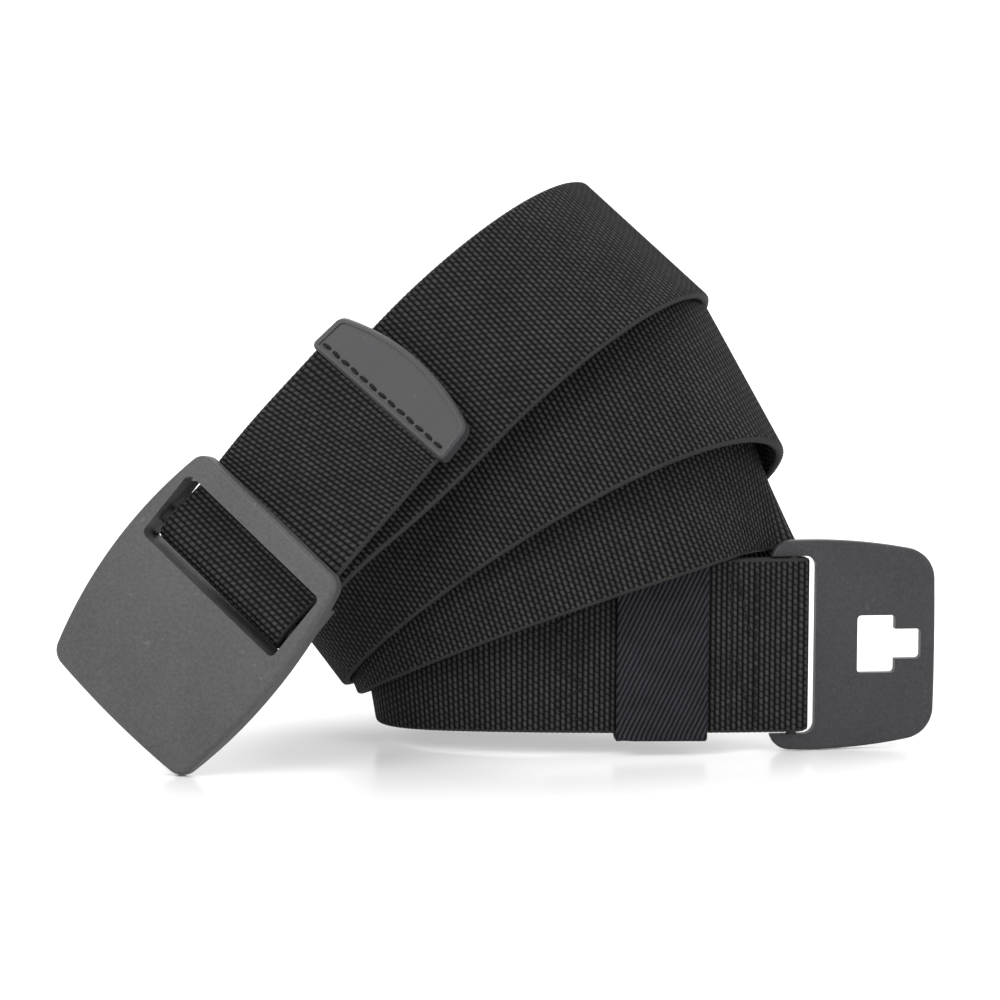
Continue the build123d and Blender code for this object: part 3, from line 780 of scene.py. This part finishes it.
def sewn_both_sides(corners):
    """Stitches along the seams between corners, on the front and on the back of the sewn end."""
    front = WEB_THICK / 2
    behind = -(WEB_THICK * 1.5 + LAYER_GAP)
    places = []
    for start, end in corners:
        places += seam(start, end, front, False)
        places += seam(start, end, behind, True)
    return places


box_seams = []
near_row, far_row = OUTER_SEAM
for low, high in ((-SEAM_HALF, -BOX_SPLIT), (BOX_SPLIT, SEAM_HALF)):
    box_seams.append(((near_row, low), (near_row, high)))
    box_seams.append(((far_row, low), (far_row, high)))
    box_seams.append((
        (near_row + CROSS_INSET, low + CROSS_INSET),
        (far_row - CROSS_INSET, high - CROSS_INSET),
    ))
zigzag = []
for index in range(ZIGZAG_COUNT):
    low = -SEAM_HALF + 2 * SEAM_HALF * index / ZIGZAG_COUNT
    high = -SEAM_HALF + 2 * SEAM_HALF * (index + 1) / ZIGZAG_COUNT
    sides = INNER_SEAM if index % 2 == 0 else INNER_SEAM[::-1]
    zigzag.append(((sides[0], low + ZIGZAG_INSET), (sides[1], high - ZIGZAG_INSET)))
tip_row = []
for index in range(TIP_STITCHES):
    across = (index - (TIP_STITCHES - 1) / 2) * TIP_STITCH_PITCH
    spot = Axes(tip_axes.at(TIP_SEAM, across, TIP_THICK / 2 - TIP_RECESS), tip_axes.x, tip_axes.z)
    tip_row.append((spot, pi / 2 + TIP_STITCH_SKEW * (-1) ** index))

outer = thread_stitches("box_stitches", sewn_both_sides(box_seams), STITCH_LENGTH)
inner = thread_stitches("zigzag_stitches", sewn_both_sides(zigzag), STITCH_LENGTH)
edge = thread_stitches(
    "tip_stitches", tip_row, TIP_STITCH_LENGTH, across=TIP_THREAD, proud=TIP_THREAD_PROUD
)
for piece, node_name, body in (
    (outer, "loop_stitching_outer", "webbing"),
    (inner, "loop_stitching_inner", "webbing"),
    (edge, "tip_stitching", "tail"),
):
    finish_with(piece, thread_look)
    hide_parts(node_name)
    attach(piece, body)


# ---- floor, light and camera --------------------------------------------------------------------
# In metres, unlike the sizes above.
TABLE_HALF = 6.0
WORLD_STRENGTH = 1.1
LENS = 248.4
VIEW_ELEVATION = radians(9)
VIEW_DISTANCE = 1.5
AIM = Vector((0.00044, -0.01586, 0.05577))


def floor():
    """A glossy white table top."""
    half = TABLE_HALF
    corners = [(-half, -half, 0), (half, -half, 0), (half, half, 0), (-half, half, 0)]
    table_top = mesh_object("table_top", corners, [(0, 1, 2, 3)], smooth=False)
    n = Nodes("white_table")
    soft = n.noise(n.object_place(), 3.0, 2.0)
    n.blend(soft, (0.90, 0.90, 0.905), (0.93, 0.93, 0.93))
    n.plain(Roughness=0.22, Specular_IOR_Level=0.18)
    finish_with(table_top, n.material)


def area_light(name, place, target, size, power):
    light = bpy.data.lights.new(name, "AREA")
    light.shape = "DISK"
    light.size = size
    light.energy = power
    lamp = bpy.data.objects.new(name, light)
    lamp.location = place
    lamp.rotation_euler = (target - lamp.location).to_track_quat("-Z", "Y").to_euler()
    bpy.context.scene.collection.objects.link(lamp)


floor()
area_light("key_left", Vector((-1.1, -1.3, 1.3)), AIM, 1.2, 22)
area_light("fill_right", Vector((1.3, -1.0, 0.8)), AIM, 1.0, 7)
area_light("top_back", Vector((0.2, 0.9, 1.5)), AIM, 1.2, 14)

world = bpy.data.worlds.new("white_room")
world.use_nodes = True
world.node_tree.nodes["Background"].inputs["Color"].default_value = (1, 1, 1, 1)
world.node_tree.nodes["Background"].inputs["Strength"].default_value = WORLD_STRENGTH
bpy.context.scene.world = world
bpy.context.scene.view_settings.view_transform = "Standard"

lens = bpy.data.cameras.new("camera")
lens.lens = LENS
camera = bpy.data.objects.new("camera", lens)
camera.location = AIM + Vector((0, -cos(VIEW_ELEVATION), sin(VIEW_ELEVATION))) * VIEW_DISTANCE
camera.rotation_euler = (AIM - camera.location).to_track_quat("-Z", "Y").to_euler()
bpy.context.scene.collection.objects.link(camera)
bpy.context.scene.camera = camera
